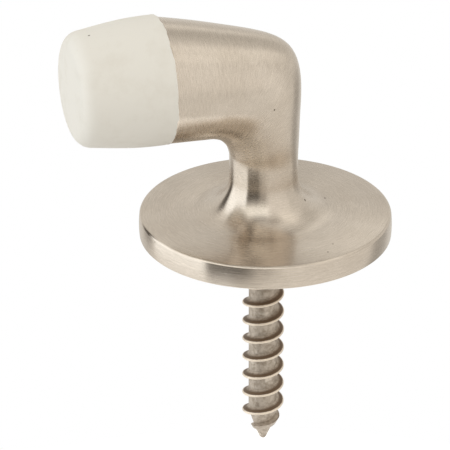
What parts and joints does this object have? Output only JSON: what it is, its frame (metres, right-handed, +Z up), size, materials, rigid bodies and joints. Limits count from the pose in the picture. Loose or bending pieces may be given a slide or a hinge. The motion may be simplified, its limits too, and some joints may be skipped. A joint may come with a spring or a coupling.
{
  "type": "floor door stop",
  "caption": "Gooseneck floor door stop: round, slightly domed base, one-piece cast neck and flared arm, white rubber tip, and a hanger screw under the base.",
  "frame": {"origin": "centre of the base's flat underside, where it sits on the floor", "axes": "+Z up, out of the floor and along the neck; +X along the arm towards the rubber tip; the screw runs down -Z"},
  "size_m": [0.0492, 0.038, 0.0725],
  "materials": {
    "satin_nickel": "brushed, warm satin nickel plating on a casting",
    "white_rubber": "matte, warm white",
    "dull_screw_steel": "dull, mottled plating with dark roots"
  },
  "bodies": {
    "root": {"cast_body": "satin_nickel", "rubber_tip": "white_rubber", "hanger_screw": "dull_screw_steel"}
  },
  "joints": []
}
